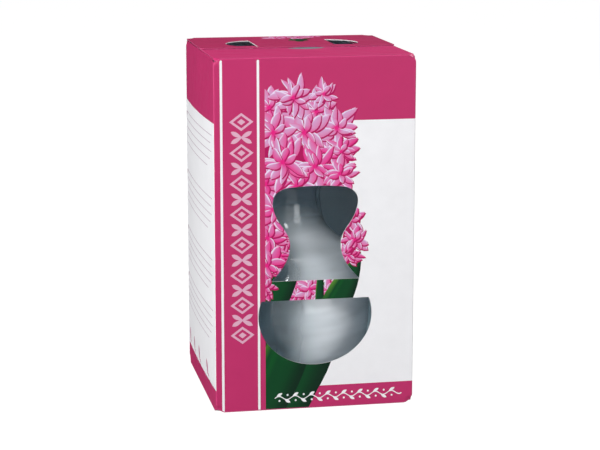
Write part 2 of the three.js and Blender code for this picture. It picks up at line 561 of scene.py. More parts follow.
def paint_posy(shapes):
    backing = [
        (-32, 57), (-6, 57), (-12, 74), (-10, 100), (-20, 112), (0, 118), (19, 112), (17, 138), (8, 154),
        (-14, 166), (-32, 164),
    ]
    paint(shapes, backing, flat_ink(petal_shade))
    paint(shapes, [(13, 78), (20, 76), (24, 100), (16, 106)], flat_ink(petal_shade))
    low_leaves = (
        ((-30, -16), 0.92, 100, 26, 0.22),
        ((-24, -22), 1.30, 102, 30, -0.10),
        ((-38, -20), 1.12, 96, 26, 0.06),
    )
    paint_leaves(shapes, low_leaves)
    for place, radius in (((-10, 60), 8), ((-3, 64), 9), ((7, 62), 9)):
        rosette(shapes, place, radius)
    bridge_leaves = (
        ((1, 38), 1.50, 42, 4.5, 0.03),
        ((-31, 34), 1.28, 64, 17, -0.10),
        ((-4, 34), 0.93, 56, 15, 0.12),
    )
    paint_leaves(shapes, bridge_leaves)
    places = [
        (-24, 160, 12), (-12, 163, 11), (1, 156, 12), (11, 147, 12), (-21, 146, 14), (-6, 146, 14),
        (8, 136, 13), (-17, 131, 14), (-1, 128, 13), (13, 124, 10), (-25, 120, 13), (-10, 119, 12),
        (4, 117, 12), (-23, 106, 12), (-25, 92, 12), (-17, 96, 9), (-18, 83, 9), (-25, 78, 11),
        (18, 100, 9), (20, 90, 8), (18, 80, 7), (-27, 66, 7), (14, 135, 9), (4, 165, 8),
    ]
    chance.shuffle(places)
    for u, v, radius in places:
        centre = (u + chance.uniform(-1, 1), v + chance.uniform(-1, 1))
        rosette(shapes, centre, radius, tones=(0.7, 1.3) if v > 143 else (0.15, 0.95))


def front_print():
    shapes = []
    paint_bands(shapes, -half, half)
    paint_posy(shapes)
    paint_vine(shapes, vine_left, vine_right, vine_middle)
    paint_left_band(shapes)
    return shapes


# %% [markdown]
# The other walls carry the same bands. The left wall has four blocks of fine rules, each with a dot
# at its head, and a row of small leaf marks below them. The right wall has a sprig and rules, and the
# back has the ornament band again beside a taller sprig, so the carton is finished on every side.

# %% Lay out the other walls' print


def moved(shapes, shift):
    """The same shapes, further along the blank."""
    placed = []
    for outline, ink in shapes:
        there = [(u + shift, v) for u, v in outline]
        placed.append((there, lambda u, v, ink=ink: ink(u - shift, v)))
    return placed


rule_pitch, rule_height = 4.25, 0.42
left_rule_tops = (145, 112.2, 80.2, 53.4)
right_rule_tops = (60, 36)
leaf_mark_places = (-45, -24, -3, 26)


def paint_rules(shapes, left, right, top):
    """Five fine rules, as long as the lines of a short note."""
    for i, short in enumerate((0.0, 0.03, 0.01, 0.05, 0.12)):
        v = top - rule_pitch * i
        end = right - (right - left) * short
        paint(shapes, rectangle(left, v - rule_height, end, v), flat_ink(rule_grey))


def left_print():
    shapes = []
    paint_bands(shapes, -half, half)
    for top in left_rule_tops:
        paint_rules(shapes, -half + 3, half - 6, top)
        paint(shapes, disc((-half + 2.6, top - 1.5), 1.5, 8), flat_ink(maroon))
    for i, u in enumerate(leaf_mark_places):
        blade = Blade((u, 13.5), math.pi / 2, 8.5, 4, 0.1 * (i - 1))
        paint(shapes, blade.outline(1, 8), flat_ink(stamp_pink))
        paint(shapes, disc((u + 3, 14), 1, 8), flat_ink(stamp_pink))
    return shapes


def right_print():
    shapes = []
    paint_bands(shapes, -half, half)
    paint_stems(shapes, (0, 70), ((-16, 118), (9, 106), (-4, 92)))
    paint_leaves(shapes, (((0, 68), 0.8, 24, 6, 0.2), ((0, 68), 2.3, 26, 6, -0.2)))
    for centre, radius in (((-16, 118), 13), ((9, 106), 11), ((-4, 92), 11)):
        rosette(shapes, centre, radius)
    for top in right_rule_tops:
        paint_rules(shapes, -30, 30, top)
    return shapes


def back_print():
    shapes = []
    paint_bands(shapes, -half, half)
    paint_stems(shapes, (16, 10), ((4, 84), (24, 78), (32, 96), (10, 104)))
    paint_leaves(
        shapes,
        (((14, 8), 1.9, 64, 15, -0.1), ((18, 8), 1.25, 60, 14, 0.12), ((6, 8), 2.2, 46, 13, -0.12)),
    )
    for u, v, radius in ((4, 84, 13), (24, 78, 12), (32, 96, 12), (10, 104, 15)):
        rosette(shapes, (u, v), radius)
    paint_left_band(shapes)
    return shapes


# %% [markdown]
# The windows are die-cut: the upper one is a stylised neck and cup, and the lower one is the bowl.
# Their outlines are Bezier curves and an ellipse, as the CAD model has them.

# %% Outline the windows
neck_foot = (23.1, 68.6)
neck_flank = ((19, 73.5), (13.3, 78.5))
neck_waist = (13.3, 87.5)
neck_flare = ((13.3, 95), (20.5, 98))
neck_shoulder = (22.2, 107.5)
neck_corner = ((23, 112), (21.5, 115.6))
neck_brow = (15.5, 117.2)
neck_crown = 119
bowl_centre, bowl_reach, bowl_half_height, bowl_top = 49.8, 30, 26.3, 58.3
curve_steps = 10


def bezier(start, first, second, end):
    """Points along a Bezier curve, without its start."""
    points = []
    for i in range(1, curve_steps + 1):
        t = i / curve_steps
        shares = ((1 - t) ** 3, 3 * t * (1 - t) ** 2, 3 * t * t * (1 - t), t**3)
        corners = (start, first, second, end)
        points.append(tuple(sum(s * p[k] for s, p in zip(shares, corners)) for k in (0, 1)))
    return points


def neck_window():
    right = [neck_foot]
    right += bezier(neck_foot, *neck_flank, neck_waist)
    right += bezier(neck_waist, *neck_flare, neck_shoulder)
    right += bezier(neck_shoulder, *neck_corner, neck_brow)
    third = (neck_brow[0] / 3, (neck_brow[1] + 2 * neck_crown) / 3)
    crown = bezier(neck_brow, third, (-third[0], third[1]), (-neck_brow[0], neck_brow[1]))
    left = [(-u, v) for u, v in reversed(right)]
    return right + crown[:-1] + left


def bowl_window():
    start = math.asin((bowl_top - bowl_centre) / bowl_half_height)
    sweep = math.pi + 2 * start
    steps = 48
    turns = [math.pi - start + sweep * i / steps for i in range(steps + 1)]
    return [(bowl_reach * math.cos(a), bowl_centre + bowl_half_height * math.sin(a)) for a in turns]


# %% [markdown]
# Cutting and printing happen in one step. A Delaunay triangulation takes every outline at once and
# splits the sheet into triangles that follow all of them, and says which shapes each triangle lies
# in. Triangles in a window are dropped, and each other one belongs to the topmost shape. Edges of
# what lies hidden under a shape are then dissolved, which leaves about a ninth of the walls' faces,
# and each corner takes its ink last. Drawing the print as faces keeps its edges sharp without any
# image.

# %% Cut and print a flat sheet
flat_within = math.radians(0.8)
merge_within = 0.03
shortest_edge = 0.01


def keep_outlines(mesh, kept, owned, guide_edges):
    """Marks as seams the edges that have to stay: between two shapes, and along a guide line."""
    sides = {}
    for corners, owner in zip(kept, owned):
        for a, b in zip(corners, corners[1:] + corners[:1]):
            sides.setdefault((min(a, b), max(a, b)), []).append(owner)
    for edge in mesh.edges:
        pair = tuple(sorted(edge.vertices))
        owners = sides[pair]
        edge.use_seam = len(owners) < 2 or owners[0] != owners[1] or pair in guide_edges


def clean_sheet(piece):
    """Dissolves the hidden edges, merges slivers and makes triangles again."""
    select_only(piece)
    bpy.ops.object.mode_set(mode="EDIT")
    bpy.ops.mesh.select_all(action="SELECT")
    bpy.ops.mesh.dissolve_limited(angle_limit=flat_within, delimit={"SEAM"})
    bpy.ops.mesh.select_all(action="SELECT")
    bpy.ops.mesh.remove_doubles(threshold=merge_within)
    bpy.ops.mesh.select_all(action="SELECT")
    bpy.ops.mesh.dissolve_degenerate(threshold=shortest_edge)
    bpy.ops.mesh.select_all(action="SELECT")
    bpy.ops.mesh.quads_convert_to_tris(ngon_method="BEAUTY")
    bpy.ops.mesh.select_all(action="SELECT")
    bpy.ops.mesh.mark_seam(clear=True)
    bpy.ops.mesh.delete_loose()
    bpy.ops.object.mode_set(mode="OBJECT")


def cut_sheet(name, outline, windows, shapes, guides, ground):
    """A flat mesh in millimetres, with the ink stored for each corner of each face."""
    points, edges, faces = [], [], []
    for polygon in [outline, *windows, *[shape for shape, _ in shapes]]:
        polygon = polygon if area_of(polygon) > 0 else polygon[::-1]
        faces.append(list(range(len(points), len(points) + len(polygon))))
        points += [Vector(p) for p in polygon]
    for line in guides:
        edges += [(len(points) + i, len(points) + i + 1) for i in range(len(line) - 1)]
        points += [Vector(p) for p in line]
    places, sides, triangles, _, origins, owners = delaunay_2d_cdt(points, edges, faces, 1, 1e-3, True)
    guide_edges = {tuple(sorted(s)) for s, o in zip(sides, origins) if any(i < len(edges) for i in o)}
    first_shape = 1 + len(windows)
    kept, owned = [], []
    for corners, owner in zip(triangles, owners):
        if 0 in owner and not any(1 <= o < first_shape for o in owner):
            kept.append(corners)
            owned.append(max(owner))
    mesh = bpy.data.meshes.new(name)
    mesh.from_pydata([(p.x, p.y, 0) for p in places], [], kept)
    mesh.attributes.new("shape", "INT", "FACE").data.foreach_set("value", owned)
    keep_outlines(mesh, kept, owned, guide_edges)
    piece = bpy.data.objects.new(name, mesh)
    bpy.context.scene.collection.objects.link(piece)
    clean_sheet(piece)
    layer = mesh.color_attributes.new("ink", "FLOAT_COLOR", "CORNER")
    colours = []
    for polygon in mesh.polygons:
        owner = mesh.attributes["shape"].data[polygon.index].value
        ink = shapes[owner - first_shape][1] if owner >= first_shape else ground
        for corner in polygon.vertices:
            place = mesh.vertices[corner].co
            colours += [*ink(place.x, place.y), 1]
    layer.data.foreach_set("color", colours)
    mesh.attributes.remove(mesh.attributes["shape"])
    print(name, "is cut into", len(kept), "triangles, and", len(mesh.polygons), "are left")
    return piece


# %% [markdown]
# The walls are one blank: glue flap, left wall, front, right wall and back. A place on the flat
# blank is its distance along the walls from the middle of the front, and its height. Folding it is
# a matter of following the walls' outline round the four folds, each a small quarter circle, and of
# letting the two side walls belly out a little, as they do when a full carton has stood a while.

# %% Fold the blank round the walls
fold_radius = 0.7
side_belly = 1.8
glue_y = glue_high.y

# The corners of the walls' outline in plan, and how far along the blank each one is.
plan = [
    (glue_high.x, glue_y),
    (-half, glue_y),
    (-half, -half),
    (half, -half),
    (half, half),
    (-half, half),
]
lengths = [math.dist(a, b) for a, b in zip(plan, plan[1:])]
marks = [-half - lengths[1] - lengths[0]]
for length in lengths:
    marks.append(marks[-1] + length)


def along_walls(s):
    """The place in plan of a point of the blank."""
    for i in range(1, len(marks) - 1):
        before = s - marks[i]
        if abs(before) < fold_radius:
            corner = Vector(plan[i])
            back = (Vector(plan[i - 1]) - corner).normalized()
            ahead = (Vector(plan[i + 1]) - corner).normalized()
            turn = (before + fold_radius) / (2 * fold_radius) * math.pi / 2
            middle = corner + (back + ahead) * fold_radius
            return middle - ahead * fold_radius * math.cos(turn) - back * fold_radius * math.sin(turn)
    last = len(marks) - 2
    i = next((k for k in range(last + 1) if s <= marks[k + 1]), last)
    start, end = Vector(plan[i]), Vector(plan[i + 1])
    return start + (end - start) * (s - marks[i]) / lengths[i]


def belly(y, z):
    """How far a side wall stands out of its plane."""
    across = y / (half - board)
    up = (z - (side_top + wall_foot) / 2) / ((side_top - wall_foot) / 2)
    return side_belly * max(0, 1 - across**2) * max(0, 1 - up**4)


def fold(piece):
    for vertex in piece.data.vertices:
        s, z = vertex.co.x, vertex.co.y
        place = along_walls(s)
        x = place.x
        if marks[1] + fold_radius < s < marks[2] - fold_radius:
            x -= belly(place.y, z)
        if marks[3] + fold_radius < s < marks[4] - fold_radius:
            x += belly(place.y, z)
        vertex.co = Vector((x, place.y, z)) * mm
    piece.data.update()


# %% Soften the corners
corner_reach = 4.5
corner_crush = 1.5
corner_steps = (0.5, 1.0, 1.6, 2.3, 3.2, 4.5)


def corner_net(corner):
    """Short crossing lines round a corner of a flat sheet, so that it has enough faces to bend."""
    u, v = corner
    lines = []
    for step in corner_steps:
        for sign in (-1, 1):
            across, up = u + sign * step, v + sign * step
            lines.append([(across, v - corner_reach), (across, v + corner_reach)])
            lines.append([(u - corner_reach, up), (u + corner_reach, up)])
    return lines


def soften_corners(piece):
    """Pushes in the carton's eight corners, where knocks have rounded the board."""
    for vertex in piece.data.vertices:
        place = vertex.co / mm
        corner = Vector((math.copysign(half, place.x), math.copysign(half, place.y), lid_top))
        if place.z < lid_top / 2:
            corner.z = 0
        gap = (place - corner).length
        if gap < corner_reach:
            inwards = (Vector((0, 0, lid_top / 2)) - corner).normalized()
            inwards.z *= 1.2
            vertex.co += inwards * corner_crush * (1 - (gap / corner_reach) ** 2) ** 2 * mm
    piece.data.update()


# %% Outline the blank and its guide lines
glue_slant = 8
belly_columns, belly_rows = 14, 20


def blank_outline():
    glue_end, left_back, left_front, right_front, right_back, back_end = marks
    return [
        (glue_end, glue_low.z + glue_slant),
        (left_back, glue_low.z),
        (left_back, wall_foot),
        (back_end, wall_foot),
        (back_end, back_top),
        (right_back, back_top),
        (right_back, side_top),
        (right_front, side_top),
        (right_front, front_top),
        (left_front, front_top),
        (left_front, side_top),
        (left_back, side_top),
        (left_back, glue_high.z),
        (glue_end, glue_high.z - glue_slant),
    ]


def blank_guides():
    """Lines that give the folds and the bellied walls enough faces to bend."""
    lines = []
    for mark in marks[1:-1]:
        for step in (-1.5, -1, -0.67, -0.33, 0.33, 0.67, 1, 1.5):
            lines.append([(mark + step * fold_radius, wall_foot), (mark + step * fold_radius, side_top)])
    for start, end in ((marks[1], marks[2]), (marks[3], marks[4])):
        for i in range(1, belly_columns):
            s = start + (end - start) * i / belly_columns
            lines.append([(s, wall_foot), (s, side_top)])
        for i in range(1, belly_rows):
            z = wall_foot + (side_top - wall_foot) * i / belly_rows
            lines.append([(start, z), (end, z)])
    for mark in marks[1:]:
        lines += corner_net((mark, wall_foot)) + corner_net((mark, back_top))
    return lines


# %% Give a sheet its thickness and its soft shading
outside_slot, rim_slot, rubbed_slot = 0, 2, 3


def thicken(piece, thickness):
    """Thickens a sheet downwards or inwards; its inside and its rim take the next two materials."""
    apply_modifier(
        piece,
        "SOLIDIFY",
        thickness=thickness * mm,
        offset=-1,
        material_offset=1,
        material_offset_rim=rim_slot,
    )


def shade_under(piece, degrees):
    """Smooth shading, except at edges that are sharper than this."""
    select_only(piece)
    bpy.ops.object.shade_smooth_by_angle(angle=math.radians(degrees))


def corner_lines(low, high):
    corners = rectangle(low.x, low.y, high.x, high.y)
    return [line for corner in corners for line in corner_net(corner)]


# %% Make the walls
rim_reach = 0.1
left_middle = (marks[1] + marks[2]) / 2
right_middle = (marks[3] + marks[4]) / 2
back_middle = (marks[4] + marks[5]) / 2


def paint_folds(shapes):
    """A paler line of magenta is painted along each fold."""
    for mark in marks[1:-1]:
        for low, high in ((wall_foot, bottom_band), (top_band, side_top)):
            paint(shapes, rectangle(mark - 0.45, low, mark + 0.45, high), flat_ink(fold_magenta))


def make_walls():
    shapes = moved(left_print(), left_middle) + moved(right_print(), right_middle)
    shapes += moved(back_print(), back_middle) + front_print()
    paint_folds(shapes)
    windows = [neck_window(), bowl_window()]
    walls = cut_sheet("carton_walls", blank_outline(), windows, shapes, blank_guides(), flat_ink(white_ink))
    fold(walls)
    dress(walls, board_print, board_inside, board_edge, rubbed_edge)
    thicken(walls, board)
    for polygon in walls.data.polygons:
        at_end = not wall_foot + rim_reach < polygon.center.z / mm < side_top - rim_reach
        if polygon.material_index == rim_slot and at_end:
            polygon.material_index = rubbed_slot
    soften_corners(walls)
    shade_under(walls, 32)
    return walls


walls = make_walls()
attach(walls, "carton")
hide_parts("front_panel", "back_panel", "left_panel", "right_panel", "glue_flap")
print("walls have", len(walls.data.polygons), "faces")

# %% [markdown]
# The lid is two broad flaps that overlap, over two short dust flaps. Each is the same printed board,
# cut flat and given its thickness downwards. The edge at its crease is rounded, because the board is
# bent there and not cut, and it keeps its ink. The back flap has two finger holes and a small sprig.

# %% Make the lid flaps
crease_round = 0.4
outer_reach, seam_reach = 1.5, 10


def half_oval(inner, reach, half_length, y, steps=16):
    turns = [-math.pi / 2 + math.pi * i / steps for i in range(steps + 1)]
    return [(inner + reach * math.cos(a), y + half_length * math.sin(a)) for a in turns]


def rounded(left, low, right, high, radius, steps=4):
    """A rectangle with rounded corners."""
    outline = []
    for i, (u, v) in enumerate(((right, high), (left, high), (left, low), (right, low))):
        middle = (u - math.copysign(radius, u), v - (radius if v == high else -radius))
        for k in range(steps + 1):
            turn = math.pi / 2 * (i + k / steps)
            outline.append((middle[0] + radius * math.cos(turn), middle[1] + radius * math.sin(turn)))
    return outline


def lay_flat(piece, top):
    for vertex in piece.data.vertices:
        vertex.co = Vector((vertex.co.x, vertex.co.y, top)) * mm


def round_crease(piece, is_crease):
    """Rounds the upper edge at the crease and carries the ink over it."""
    for polygon in piece.data.polygons:
        if abs(polygon.normal.z) < 0.5 and is_crease(polygon.center / mm):
            polygon.material_index = outside_slot
    top = max(v.co.z for v in piece.data.vertices) / mm
    for edge in piece.data.edges:
        ends = [piece.data.vertices[i].co / mm for i in edge.vertices]
        edge.select = all(is_crease(end) and end.z > top - hair for end in ends)
    bpy.ops.object.mode_set(mode="EDIT")
    bpy.ops.mesh.select_mode(type="EDGE")
    bpy.ops.mesh.bevel(offset=crease_round * mm, segments=3, affect="EDGES")
    bpy.ops.object.mode_set(mode="OBJECT")


def make_flap(name, node, outline, holes, shapes, is_crease, ink=magenta):
    low, high = box_mm(node)
    flap = cut_sheet(name, outline, holes, shapes, corner_lines(low, high), flat_ink(ink))
    lay_flat(flap, high.z)
    dress(flap, board_print, board_inside, board_edge, rubbed_edge)
    thicken(flap, board)
    for polygon in flap.data.polygons:
        at_side = abs(polygon.center.x) > (half - outer_reach) * mm
        at_seam = abs(polygon.center.y) < seam_reach * mm
        upright = abs(polygon.normal.z) < 0.5
        if polygon.material_index == rim_slot and upright and (at_side or at_seam):
            polygon.material_index = rubbed_slot
    select_only(flap)
    bpy.ops.object.mode_set(mode="EDIT")
    bpy.ops.mesh.select_all(action="DESELECT")
    bpy.ops.object.mode_set(mode="OBJECT")
    round_crease(flap, is_crease)
    soften_corners(flap)
    shade_under(flap, 35)
    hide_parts(node)
    print(name, "has", len(flap.data.polygons), "faces")
    return flap


def sprig_print():
    shapes = []
    leaves = (
        ((2, 26), 0.9, 18, 8, 0.2),
        ((10, 24), 1.9, 20, 7, -0.2),
        ((4, 30), 0.2, 12, 5, 0.3),
        ((6, 20), 1.5, 22, 6, 0),
    )
    paint_leaves(shapes, leaves)
    for centre, radius in (((-4, 43), 8), ((8, 42), 8), ((2, 50), 7), ((17, 48), 6)):
        rosette(shapes, centre, radius, ((1, 6, 0.5), (0.6, 5, 0.5)), (0.5, 1))
    return shapes


def seam_print():
    """The front flap's ink is rubbed along the seam, and the darker strip there is also painted shade at
    the back flap's edge; a grey leaf lies beside it.
    """
    shapes = [(rectangle(-half, front_flap_low.y, half, front_flap_low.y + 0.9), flat_ink(fold_magenta))]
    seam, specks = back_flap_low.y, 34
    # A darker strip along the seam: rubbed ink and painted shade cast by the back flap's edge.
    paint(shapes, rectangle(-half + 2, seam - 0.9, half - 2, seam + 0.5), flat_ink(rub_and_shade_magenta))
    for _ in range(specks):
        speck = (chance.uniform(-half + 4, half - 4), seam - chance.uniform(0, 0.8))
        paint(shapes, disc(speck, chance.uniform(0.25, 0.5), 6), flat_ink(pale_pink))
    blade = Blade((-6, seam - 3.2), -0.02, 20, 8, 0.02, 0.5)
    paint(shapes, blade.outline(1, 8), flat_ink(grey_leaf))
    return shapes


hole_inner, hole_reach, hole_half_length, hole_y = 21, 15, 17, 13
back_flap_rounding, front_flap_rounding = 1.6, 1.2

finger_hole = half_oval(hole_inner, hole_reach, hole_half_length, hole_y)
back_flap = make_flap(
    "lid_flap_back_board",
    "lid_flap_back",
    rounded(back_flap_low.x, back_flap_low.y, back_flap_high.x, back_flap_high.y, back_flap_rounding),
    [finger_hole, [(-x, y) for x, y in finger_hole]],
    sprig_print(),
    lambda place: place.y > back_flap_high.y - hair,
    # the back flap's magenta is darker: painted shade
    lid_back_painted_shade,
)
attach(back_flap, "lid_back")

front_flap = make_flap(
    "lid_flap_front_board",
    "lid_flap_front",
    rounded(front_flap_low.x, front_flap_low.y, front_flap_high.x, front_flap_high.y, front_flap_rounding),
    [],
    seam_print(),
    lambda place: place.y < front_flap_low.y + hair,
    # the front flap's magenta is lighter: painted light
    lid_front_painted_light,
)
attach(front_flap, "lid_front")

# %% Make the dust flaps


def make_dust_flap(side, name, node):
    low, high = box_mm(node)
    hinge, tip = (low.x, high.x) if side < 0 else (high.x, low.x)
    length = high.x - low.x
    root = high.y
    outline = [(hinge, -root), (hinge, root), (tip, root - length), (tip, length - root)]
    flap = make_flap(name, node, outline, [], [], lambda place: abs(place.x - hinge) < hair)
    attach(flap, "dust_left" if side < 0 else "dust_right")
    return flap


make_dust_flap(-1, "dust_flap_left_board", "dust_flap_left")
make_dust_flap(1, "dust_flap_right_board", "dust_flap_right")

# %% [markdown]
# The bottom is glued shut: an outer panel with ink on it, an inner panel, and two dust flaps under
# the glass. They are plain sheets of the same board, so they are cut and given their thickness as
# the lid is, and each has its corners pushed in as the walls' lower corners are.

# %% Make the bottom
bottom_rounding = 0.8


def plain_board(name, node, outer):
    low, high = box_mm(node)
    outline = rounded(low.x, low.y, high.x, high.y, bottom_rounding)
    panel = cut_sheet(name, outline, [], [], corner_lines(low, high), flat_ink(magenta))
    lay_flat(panel, high.z)
    if outer:
        dress(panel, board_inside, board_print, rubbed_edge)
    else:
        dress(panel, board_inside, board_inside, board_edge)
    thicken(panel, high.z - low.z)
    soften_corners(panel)
    shade_under(panel, 35)
    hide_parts(node)
    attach(panel, "carton")
    print(name, "has", len(panel.data.polygons), "faces")
    return panel


plain_board("bottom_outer_board", "bottom_outer", True)
plain_board("bottom_inner_board", "bottom_inner", False)
plain_board("bottom_dust_left_board", "bottom_dust_left", False)
plain_board("bottom_dust_right_board", "bottom_dust_right", False)

# %% [markdown]
# The hyacinth glass is blown soda-lime glass: a pushed-up foot, a round bowl, a waist and a cup for
# the bulb. It is drawn upwards ring by ring: one circle of vertices is extruded, moved up and scaled
# for each place of its outline, first up the outside, then down the inside to the thick floor.

# %% Outline of the glass
glass_low, glass_high = box_mm("glass")
glass_x = (glass_low.x + glass_high.x) / 2
glass_wall = 2.4
glass_floor = 6
foot_radius = 25
glass_turns = (
    (25, 0),
    (34, 4.5),
    (41.6, 18),
    (44.6, 40),
    (41.8, 59),
    (34, 74),
    (24.5, 82.5),
    (19.6, 90),
    (17.6, 104),
    (21.5, 114),
    (29, 124),
    (33.4, 134),
    (34.2, 146),
)


def catmull_rom(turns, steps):
    """A smooth line through the places where an outline turns."""
    line = []
    for i in range(len(turns) - 1):
        before = turns[i - 1] if i else [2 * a - b for a, b in zip(turns[0], turns[1])]
        after = turns[i + 2] if i + 2 < len(turns) else [2 * a - b for a, b in zip(turns[-1], turns[-2])]
        for k in range(steps):
            t = k / steps
            place = []
            for a, b, c, d in zip(before, turns[i], turns[i + 1], after):
                second = 2 * a - 5 * b + 4 * c - d
                third = 3 * b - a - 3 * c + d
                place.append(0.5 * (2 * b + (c - a) * t + second * t * t + third * t**3))
            line.append(tuple(place))
    return [*line, turns[-1]]


def glass_inside(outside):
    """One wall's thickness inside the outside, from the rim down to just above the floor."""
    inside = []
    for i in range(len(outside) - 1, 0, -1):
        ahead = outside[min(i + 1, len(outside) - 1)]
        along = (Vector(ahead) - Vector(outside[i - 1])).normalized()
        r, z = outside[i][0] - along.y * glass_wall, outside[i][1] + along.x * glass_wall
        if z > glass_floor + 3:
            inside.append((r, z))
    return inside


def glass_profile():
    outside = catmull_rom(glass_turns, 5)
    inside = glass_inside(outside)
    rim_r, rim_z = outside[-1]
    rim = [
        (rim_r - glass_wall / 2 + glass_wall / 2 * math.cos(a), rim_z + glass_wall / 4 * math.sin(a))
        for a in (math.pi * i / 6 for i in range(1, 6))
    ]
    foot = [(6, 2.4), (14, 1.7), (19, 0.6), (21, 0.1), (22.5, 0)]
    floor = [(foot_radius, glass_floor + 1), (18, glass_floor + 0.3), (8, glass_floor)]
    return [*foot, *outside, *rim, *inside, *floor]


# %% Draw a round shape up ring by ring


def draw_rings(name, profile, centre, sides):
    """Extrudes a circle along a profile of (radius, height) pairs and closes both ends."""
    r, z = profile[0]
    deselect()
    foot = (centre[0] * mm, centre[1] * mm, (centre[2] + z) * mm)
    bpy.ops.mesh.primitive_circle_add(vertices=sides, radius=r * mm, fill_type="TRIFAN", location=foot)
    piece = settle(bpy.context.object, name)
    bpy.ops.object.mode_set(mode="EDIT")
    bpy.ops.mesh.select_all(action="SELECT")
    bpy.ops.mesh.region_to_loop()
    for (r0, z0), (r1, z1) in zip(profile, profile[1:]):
        bpy.ops.mesh.extrude_edges_move(TRANSFORM_OT_translate={"value": (0, 0, (z1 - z0) * mm)})
        middle = (centre[0] * mm, centre[1] * mm, (centre[2] + z1) * mm)
        bpy.ops.transform.resize(value=(r1 / r0, r1 / r0, 1), center_override=middle)
    bpy.ops.mesh.edge_face_add()
    bpy.ops.mesh.poke()
    bpy.ops.mesh.select_all(action="SELECT")
    bpy.ops.mesh.normals_make_consistent(inside=False)
    bpy.ops.object.mode_set(mode="OBJECT")
    return piece


# %% [markdown]
# Soda-lime glass is clear with a faint blue. Blowing leaves its wall a little uneven, in long ripples
# round the glass. A glass in a box shows broad pale reflections, and they aren't traced here: a dull
# bloom in the glass stands for them. Its mask runs from clear at the upper left to dull at the lower
# right, and stays in place when the view turns. Shadow rays and diffuse rays pass straight through,
# so the light reaches what stands behind the glass.

# %% Material: blown soda-lime glass


def blown_glass():
    material, tree = new_material("blown soda-lime glass")
    place = add_node(tree, "ShaderNodeTexCoord")
    stretch = add_node(
        tree,
        "ShaderNodeMapping",
        values={"Scale": (1 / (40 * mm), 1 / (40 * mm), 1 / (7 * mm))},
        links={"Vector": place.outputs["Object"]},
    )
    ripple = add_node(
        tree,
        "ShaderNodeTexNoise",
        values={"Scale": 1, "Detail": 1, "Roughness": 0.4},
        links={"Vector": stretch.outputs["Vector"]},
    )
    axes = add_node(tree, "ShaderNodeSeparateXYZ", links={"Vector": place.outputs["Object"]})
    lean = add_node(
        tree,
        "ShaderNodeMapRange",
        values={"From Min": 72 * mm, "From Max": 92 * mm, "To Min": 0.0, "To Max": 11 * mm},
        links={"Value": axes.outputs["Z"]},
    )
    leaning = add_node(
        tree,
        "ShaderNodeMath",
        {"operation": "ADD"},
        links={0: axes.outputs["X"], 1: lean.outputs["Result"]},
    )
    to_right = add_node(
        tree,
        "ShaderNodeMapRange",
        {"interpolation_type": "SMOOTHSTEP"},
        {"From Min": -16 * mm, "From Max": 11 * mm, "To Min": 0.0, "To Max": 1.0},
        {"Value": leaning.outputs["Value"]},
    )
    to_foot = add_node(
        tree,
        "ShaderNodeMapRange",
        {"interpolation_type": "SMOOTHSTEP"},
        {"From Min": 104 * mm, "From Max": 82 * mm, "To Min": 0.0, "To Max": 1.0},
        {"Value": axes.outputs["Z"]},
    )
    patch = add_node(
        tree,
        "ShaderNodeMath",
        {"operation": "MULTIPLY"},
        links={0: to_right.outputs["Result"], 1: to_foot.outputs["Result"]},
    )
    bands = add_node(
        tree,
        "ShaderNodeMapRange",
        values={"From Min": 0.35, "From Max": 0.65, "To Min": 0.75, "To Max": 1.0},
        links={"Value": ripple.outputs["Fac"]},
    )
    bloom = add_node(
        tree,
        "ShaderNodeMath",
        {"operation": "MULTIPLY"},
        links={0: patch.outputs["Value"], 1: bands.outputs["Result"]},
    )
    clearness = add_node(
        tree,
        "ShaderNodeMapRange",
        values={"From Min": 0.0, "From Max": 1.0, "To Min": 0.97, "To Max": 0.12},
        links={"Value": bloom.outputs["Value"]},
    )
    bump = add_node(
        tree,
        "ShaderNodeBump",
        values={"Strength": 0.5, "Distance": 0.6 * mm},
        links={"Height": ripple.outputs["Fac"]},
    )
    surface = add_node(
        tree,
        "ShaderNodeBsdfPrincipled",
        values={
            "Base Color": (*linear("#ecf2f8"), 1),
            "Roughness": 0.03,
            "IOR": 1.52,
        },
        links={"Normal": bump.outputs["Normal"], "Transmission Weight": clearness.outputs["Result"]},
    )
    clear = add_node(tree, "ShaderNodeBsdfTransparent", values={"Color": (*linear("#eef6f6"), 1)})
    path = add_node(tree, "ShaderNodeLightPath")
    lamp = add_node(
        tree,
        "ShaderNodeMath",
        {"operation": "MAXIMUM"},
        links={0: path.outputs["Is Shadow Ray"], 1: path.outputs["Is Diffuse Ray"]},
    )
    both = add_node(
        tree,
        "ShaderNodeMixShader",
        links={0: lamp.outputs["Value"], 1: surface.outputs["BSDF"], 2: clear.outputs["BSDF"]},
    )
    add_node(tree, "ShaderNodeOutputMaterial", links={"Surface": both.outputs["Shader"]})
    return material


# %% Make the glass
glass_sides = 96
glass = draw_rings("hyacinth_glass", glass_profile(), (glass_x, 0, glass_low.z), glass_sides)
select_only(glass)
bpy.ops.object.shade_smooth()
dress(glass, blown_glass())
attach(glass, "carton")
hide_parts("glass")
print("glass has", len(glass.data.polygons), "faces")

# %% [markdown]
# The bulb sits in the cup, out of sight behind the front. It has a flat basal plate, dry purple-brown
# skins that stand in shallow ridges, and a nose with the tip of the shoot. It is drawn up ring by
# ring like the glass, and its ridges are then pushed out round its axis.

# %% Material: dry bulb skin


